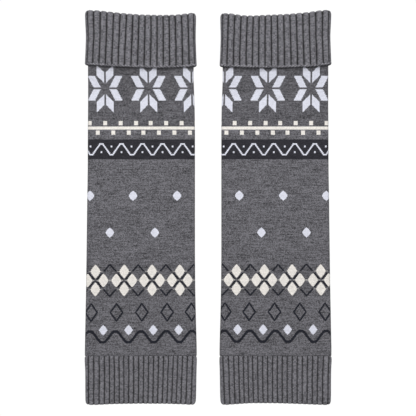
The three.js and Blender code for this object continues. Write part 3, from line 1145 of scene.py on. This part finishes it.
def rib_knit(name, yarn, wales_per_rib, band, groove_power, painted_groove_shade, layer):
    """A cuff's material; band is the height of its cast-off band, or 0 for none."""
    material, tree, shader = knit_material(name)
    ribs, along = stitch_coordinates(tree)
    in_wales = ribs * wales_per_rib
    wale, course, height = v_stitches(in_wales, along / RIB_COURSE)
    groove = abs(ribs.maths("FRACT") * 2 - 1) ** groove_power
    painted_loop_shading = 1
    if band:
        open_groove = ((along - band) / LOOP_FADE).clamped(0, 1)
        groove = groove * open_groove
        # Painted highlight on each cast-off loop and painted shade in the notch beside it
        twist = (ribs * LOOPS_PER_RIB + along / LOOP_SLANT) * (2 * math.pi)
        slant = twist.maths("COSINE") * PAINTED_LOOP_CONTRAST + PAINTED_LOOP_LIFT
        painted_loop_shading = (open_groove * -1 + 1) * slant + 1
    parts = {
        "fibres": noise(in_wales, along, layer, scale=(1.6, 2.0), detail=3),
        "clouds": noise(ribs, along, layer + CLOUD_LAYER, scale=(0.3, 0.06)),
        "specks": stitch_lottery(wale, course, layer),
    }
    shade = (heather(parts, RIB_HEATHER) + RIB_AVERAGE).maths("MAXIMUM", RIB_DARKEST)
    # Painted shade in the hollows between stitches, lighter on their crowns
    shade = shade * (height * RIB_CROWN + RIB_HOLLOW)
    # Painted shade in each groove, on top of the mesh's own shadow there
    depth = (groove * -painted_groove_shade + 1).maths("MAXIMUM", PAINTED_GROOVE_DARKEST)
    finish_knit(shader, YARNS[yarn], shade * depth * painted_loop_shading, height, RIB_BUMP)
    return material


# Cuffs, yarn, wales in a rib, cast-off band, power and painted shade of a groove, first layer of noise
RIB_KNITS = {
    "top": (top_cuffs, "top rib grey", 4, HEM_BAND, 3.8, 1.15, 40),
    "foot": (foot_cuffs, "foot rib grey", 3, 0, 4.4, 1.12, 80),
}
for part, (cuffs, *look, first_layer) in RIB_KNITS.items():
    for step, (leg, cuff) in enumerate(cuffs.items()):
        material = rib_knit(f"{part}_rib_{leg}", *look, first_layer + LAYER_STEP * step)
        cuff.data.materials.append(material)
        print(cuff.name, "wears", material.name)

# %% [markdown]
# ## Attaching each piece to the frame
#
# Every piece stands for its plain solid, which is hidden, and rides on the only body.

# %% Pieces
CUFF_OUTSIDE = 54
CUFF_HIDDEN = 42

cuff_middle = section_at(CUFF_ROWS, CUFF_MIDDLE)
foot_middle = section_at(FOOT_ROWS, FOOT_MIDDLE)
# Rows of node, pieces, slot, section that gives the girth, length, and how the cloth is held
PARTS = [
    ("body", bodies, "patterned_knit", body_middle, CUFF_JOIN - FOOT_JOIN, "laid"),
    ("top_cuff", top_cuffs, "rib_knit", cuff_middle, CUFF_OUTSIDE + CUFF_HIDDEN, "folded"),
    ("foot_cuff", foot_cuffs, "rib_knit", foot_middle, FOOT_JOIN, "laid"),
]
for leg in LEGS:
    for part, pieces, slot, section, length, held in PARTS:
        piece = pieces[leg]
        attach(piece, "root")
        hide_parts(f"{part}_{leg}")

# %% [markdown]
# ## A white ground
#
# The ground of a product cut-out is white. Here it is a light table, which glows evenly and so shows
# no shadows, and it is hidden from bounced light, so that it doesn't light the cloth from below.

# %% Floor
FLOOR_HALF = 20
FLOOR_DROP = 0.2
TABLE_GLOW = 1.02

floor_mesh = bpy.data.meshes.new("floor")
floor_mesh.from_pydata(
    [(x * FLOOR_HALF, y * FLOOR_HALF, 0) for x, y in ((-1, -1), (1, -1), (1, 1), (-1, 1))],
    [],
    [(0, 1, 2, 3)],
)
floor = bpy.data.objects.new("floor", floor_mesh)
bpy.context.scene.collection.objects.link(floor)
floor.location.z = -FLOOR_DROP * MM
floor.visible_diffuse = False
floor.visible_glossy = False
light_table = bpy.data.materials.new("light_table")
light_table.use_nodes = True
glow = new_node(light_table.node_tree, "Emission", {"Strength": TABLE_GLOW})
output = light_table.node_tree.nodes["Material Output"]
light_table.node_tree.links.new(glow.outputs[0], output.inputs[0])
floor_mesh.materials.append(light_table)
print("floor is", 2 * FLOOR_HALF, "metres across")

# %% [markdown]
# ## Soft light
#
# The light is soft and from above, with a little more from the top of the picture, which puts a thin
# shadow under the cuff's hem. The sky is brighter overhead than low down, which leaves the turned
# edges of the cloth a little darker.

# %% Lamp and world
SKY_OVERHEAD = 0.75
SKY_ALL_ROUND = 0.2
SKY_PICTURE_TOP = 0.35
SKY_DARKEST = 0.04

lamp_data = bpy.data.lights.new("softbox", "AREA")
lamp_data.shape = "RECTANGLE"
lamp_data.size = 1.2
lamp_data.size_y = 0.9
lamp_data.energy = 15
lamp = bpy.data.objects.new("softbox", lamp_data)
lamp.location = (-0.1, 0.9, 1.15)
lamp.rotation_euler = (math.radians(-38), 0, math.radians(-6))
bpy.context.scene.collection.objects.link(lamp)

world = bpy.data.worlds.new("bright_room")
world.use_nodes = True
sky = world.node_tree
direction = new_node(sky, "TexCoord", {})
split = new_node(sky, "SeparateXYZ", {0: direction.outputs["Generated"]})
overhead = Field(sky, split.outputs["Z"]).maths("MAXIMUM", 0) * SKY_OVERHEAD + SKY_ALL_ROUND
towards_top = Field(sky, split.outputs["Y"]) * SKY_PICTURE_TOP
brightness = (overhead + towards_top).maths("MAXIMUM", SKY_DARKEST)
sky.links.new(brightness.socket, sky.nodes["Background"].inputs["Strength"])
sky.nodes["Background"].inputs["Color"].default_value = (1, 1, 1, 1)
bpy.context.scene.world = world
bpy.context.scene.view_settings.view_transform = "Standard"
print("lamp of", lamp_data.energy, "watts and a sky ready")
